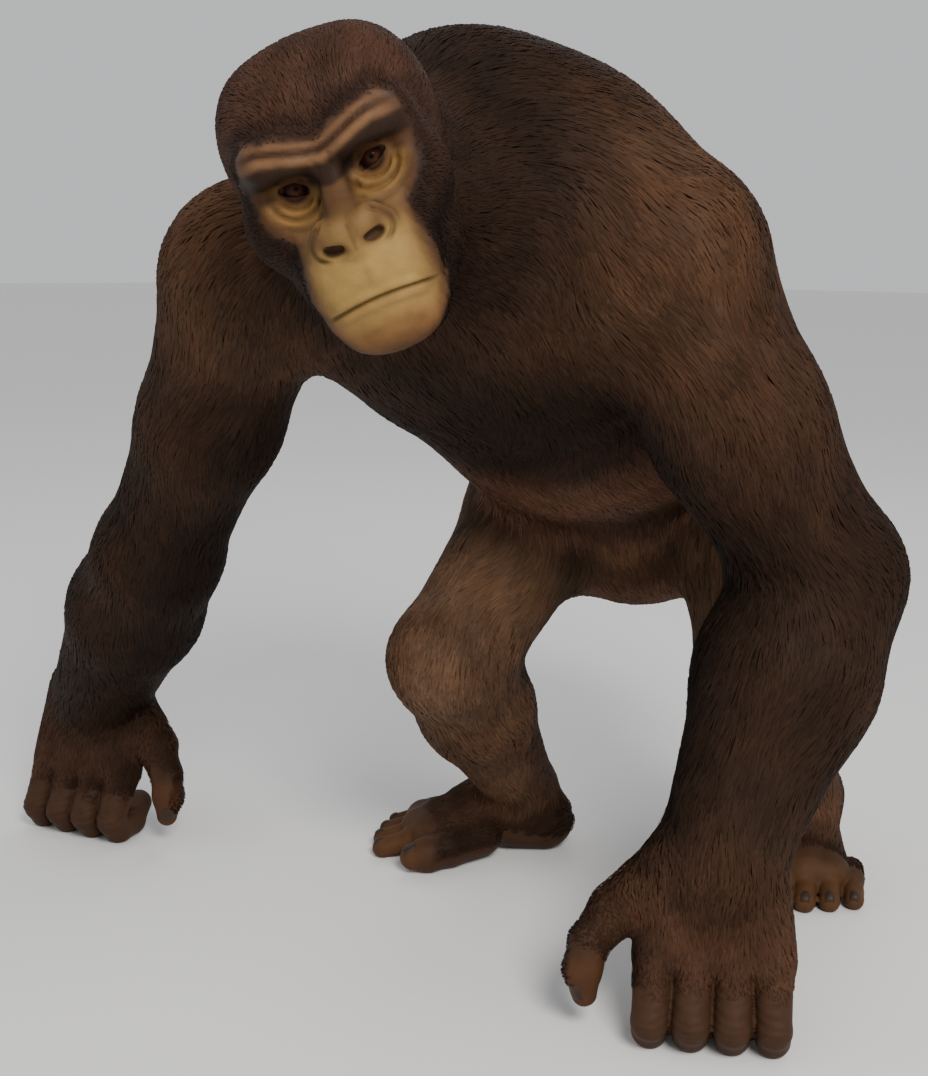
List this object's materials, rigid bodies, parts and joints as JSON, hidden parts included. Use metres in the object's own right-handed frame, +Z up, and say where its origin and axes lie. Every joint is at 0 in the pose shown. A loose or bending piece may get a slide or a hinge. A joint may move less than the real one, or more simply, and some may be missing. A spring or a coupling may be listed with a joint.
{
  "type": "gorilla",
  "caption": "Life-size adult male gorilla as a still model, standing on its knuckles and soles with the arms set wide, head low and turned to its left, dark brown coat, tan face.",
  "frame": {"origin": "on the floor under the middle of the animal's bounding box", "axes": "+Z up, the trunk faces -Y, the animal's own left is +X"},
  "size_m": [1.179, 1.0466, 1.0528],
  "materials": {
    "coat": "dense dark brown hair, matt",
    "face_skin": "bare tan-brown wrinkled skin, soft sheen",
    "dark_skin": "bare dark brown skin of fingers, toes and ears",
    "eye": "wet dark brown eye, glossy"
  },
  "bodies": {
    "root": {"neck": "coat", "shoulder_left": "coat", "upper_arm_left": "coat", "thigh_left": "coat", "shoulder_right": "coat", "upper_arm_right": "coat", "thigh_right": "coat", "forearm_left": "coat", "lower_leg_left": "coat", "forearm_right": "coat", "lower_leg_right": "coat", "chest": "coat", "belly": "coat", "hips": "coat", "eye_left": "eye", "ear_left": "dark_skin", "eye_right": "eye", "ear_right": "dark_skin", "head": "face_skin", "index_finger_left": "dark_skin", "middle_finger_left": "dark_skin", "ring_finger_left": "dark_skin", "little_finger_left": "dark_skin", "thumb_left": "dark_skin", "hand_left": "coat", "second_toe_left": "dark_skin", "third_toe_left": "dark_skin", "fourth_toe_left": "dark_skin", "fifth_toe_left": "dark_skin", "great_toe_left": "dark_skin", "foot_left": "coat", "index_finger_right": "dark_skin", "middle_finger_right": "dark_skin", "ring_finger_right": "dark_skin", "little_finger_right": "dark_skin", "thumb_right": "dark_skin", "hand_right": "coat", "second_toe_right": "dark_skin", "third_toe_right": "dark_skin", "fourth_toe_right": "dark_skin", "fifth_toe_right": "dark_skin", "great_toe_right": "dark_skin", "foot_right": "coat"}
  },
  "joints": []
}
